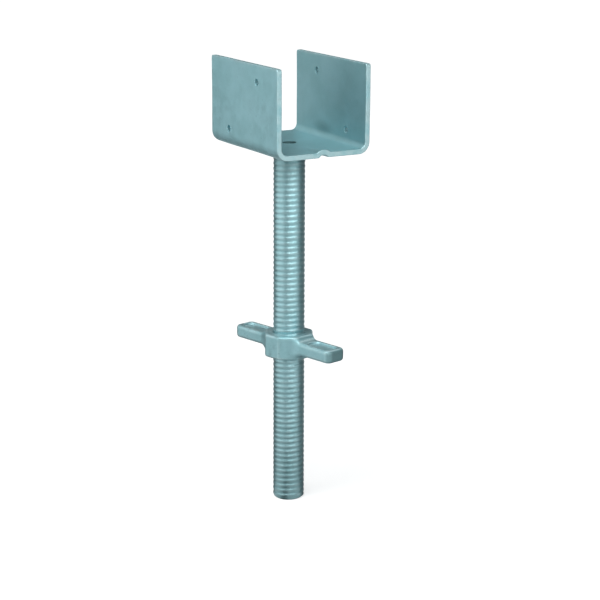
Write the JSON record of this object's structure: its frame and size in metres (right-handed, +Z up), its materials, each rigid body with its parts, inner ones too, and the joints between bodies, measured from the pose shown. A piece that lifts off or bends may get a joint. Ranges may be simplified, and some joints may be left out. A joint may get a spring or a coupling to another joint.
{
  "type": "u-head jack",
  "caption": "Folded steel U-shaped saddle welded on a hollow threaded spindle with a cast wing nut, which carries a formwork beam on a scaffold tube at an adjustable height.",
  "frame": {"origin": "centre of the spindle's lower end", "axes": "+Z up along the spindle, towards the saddle; X across the saddle's flanges; Y along the beam that lies in the saddle"},
  "size_m": [0.122, 0.1662, 0.54],
  "materials": {
    "saddle_plate": "zinc-plated, satin",
    "spindle_steel": "zinc-plated rolled thread, satin",
    "weld_metal": "zinc-plated weld, rippled",
    "nut_casting": "zinc-plated casting, slightly grained"
  },
  "bodies": {
    "jack": {"u_head": "saddle_plate", "spindle": "spindle_steel", "weld_bead": "weld_metal"},
    "nut": {"wing_nut": "nut_casting"}
  },
  "joints": [
    {"name": "nut_travel", "type": "slide", "parent": "jack", "child": "nut", "axis": [0, 0, 1], "range_m": [-0.17145, 0.2159]}
  ]
}
